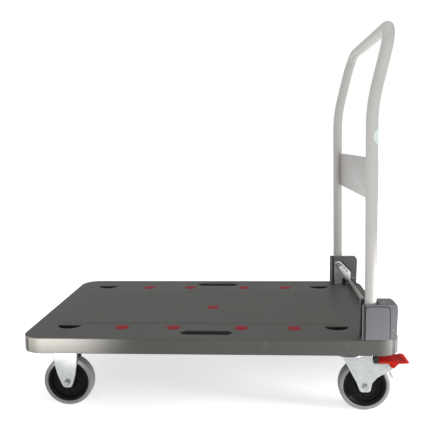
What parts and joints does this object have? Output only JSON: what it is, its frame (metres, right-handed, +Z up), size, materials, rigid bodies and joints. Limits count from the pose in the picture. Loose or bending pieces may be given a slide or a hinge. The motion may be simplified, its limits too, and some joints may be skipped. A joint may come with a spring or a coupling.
{
  "type": "platform trolley",
  "caption": "Folding platform trolley: grey moulded deck with hand slots, folding tube handle with cross panel, foot release bar, fixed and braked swivel casters.",
  "frame": {"origin": "centre of the bounding box on the floor", "axes": "+X along the deck towards the handle, +Y across the deck, +Z up"},
  "size_m": [0.9323, 0.6, 0.9191],
  "materials": {
    "deck_plastic": "fine satin grain",
    "dot_rubber": "matt",
    "cover_plastic": "fine grain",
    "zinc": "bright zinc plate",
    "fastener": "zinc plate",
    "handle_paint": "satin powder coat",
    "label_film": "printed film",
    "black_plastic": "satin",
    "nylon": "natural",
    "bar_steel": "dull zinc",
    "tyre_grey": "satin",
    "pedal_red": "gloss"
  },
  "bodies": {
    "platform": {"deck_shell": "deck_plastic", "grip_dots": "dot_rubber", "deck_inserts": "fastener", "plate_bolts": "fastener", "bracket_near": "zinc", "bracket_far": "zinc", "bracket_bolts": "fastener", "cover_near": "cover_plastic", "cover_far": "cover_plastic", "cover_screws": "fastener", "pivot_pins": "fastener", "lever_pins": "fastener", "lever_springs": "fastener", "bar_stops": "black_plastic", "fixed_fork_near": "zinc", "fixed_fork_far": "zinc", "fixed_axles": "fastener", "fixed_nuts": "fastener", "fixed_sleeves": "fastener", "swivel_plate_near": "zinc", "swivel_plate_far": "zinc", "kingpins": "fastener"},
    "handle": {"handle_tube": "handle_paint", "handle_panel": "handle_paint", "handle_label": "label_film", "foot_plugs": "black_plastic", "lock_lugs": "zinc", "pivot_bushes": "nylon"},
    "release": {"release_bar": "bar_steel", "lever_near": "zinc", "lever_far": "zinc"},
    "fixed_wheel_near": {"fixed_hub_near": "black_plastic", "fixed_tyre_near": "tyre_grey"},
    "swivel_near": {"swivel_fork_near": "zinc", "swivel_balls_near": "fastener", "swivel_axle_near": "fastener", "pedal_pin_near": "fastener"},
    "swivel_wheel_near": {"swivel_hub_near": "black_plastic", "swivel_tyre_near": "tyre_grey"},
    "brake_near": {"pedal_near": "pedal_red", "pedal_cap_near": "black_plastic", "brake_shoe_near": "black_plastic"},
    "fixed_wheel_far": {"fixed_hub_far": "black_plastic", "fixed_tyre_far": "tyre_grey"},
    "swivel_far": {"swivel_fork_far": "zinc", "swivel_balls_far": "fastener", "swivel_axle_far": "fastener", "pedal_pin_far": "fastener"},
    "swivel_wheel_far": {"swivel_hub_far": "black_plastic", "swivel_tyre_far": "tyre_grey"},
    "brake_far": {"pedal_far": "pedal_red", "pedal_cap_far": "black_plastic", "brake_shoe_far": "black_plastic"}
  },
  "joints": [
    {"name": "handle_fold", "type": "hinge", "parent": "platform", "child": "handle", "pos_m": [0.3737, 0, 0.2145], "axis": [0, -1, 0], "range_deg": [0, 90]},
    {"name": "release_press", "type": "hinge", "parent": "platform", "child": "release", "pos_m": [0.3722, 0, 0.2485], "axis": [0, 1, 0], "range_deg": [0, 8], "stiffness_Nm_per_rad": 1.2, "springref_deg": -25.78},
    {"name": "fixed_spin_near", "type": "hinge", "parent": "platform", "child": "fixed_wheel_near", "pos_m": [-0.3613, -0.2455, 0.0615], "axis": [0, 1, 0], "continuous": true},
    {"name": "swivel_turn_near", "type": "hinge", "parent": "platform", "child": "swivel_near", "pos_m": [0.3287, -0.253, 0.1425], "axis": [0, 0, 1], "continuous": true},
    {"name": "swivel_spin_near", "type": "hinge", "parent": "swivel_near", "child": "swivel_wheel_near", "pos_m": [0.3657, -0.253, 0.0615], "axis": [0, 1, 0], "continuous": true},
    {"name": "brake_press_near", "type": "hinge", "parent": "swivel_near", "child": "brake_near", "pos_m": [0.4267, -0.253, 0.1175], "axis": [0, 1, 0], "range_deg": [0, 8]},
    {"name": "fixed_spin_far", "type": "hinge", "parent": "platform", "child": "fixed_wheel_far", "pos_m": [-0.3613, 0.2455, 0.0615], "axis": [0, 1, 0], "continuous": true},
    {"name": "swivel_turn_far", "type": "hinge", "parent": "platform", "child": "swivel_far", "pos_m": [0.3287, 0.253, 0.1425], "axis": [0, 0, 1], "continuous": true},
    {"name": "swivel_spin_far", "type": "hinge", "parent": "swivel_far", "child": "swivel_wheel_far", "pos_m": [0.3657, 0.253, 0.0615], "axis": [0, 1, 0], "continuous": true},
    {"name": "brake_press_far", "type": "hinge", "parent": "swivel_far", "child": "brake_far", "pos_m": [0.4267, 0.253, 0.1175], "axis": [0, 1, 0], "range_deg": [0, 8]}
  ]
}
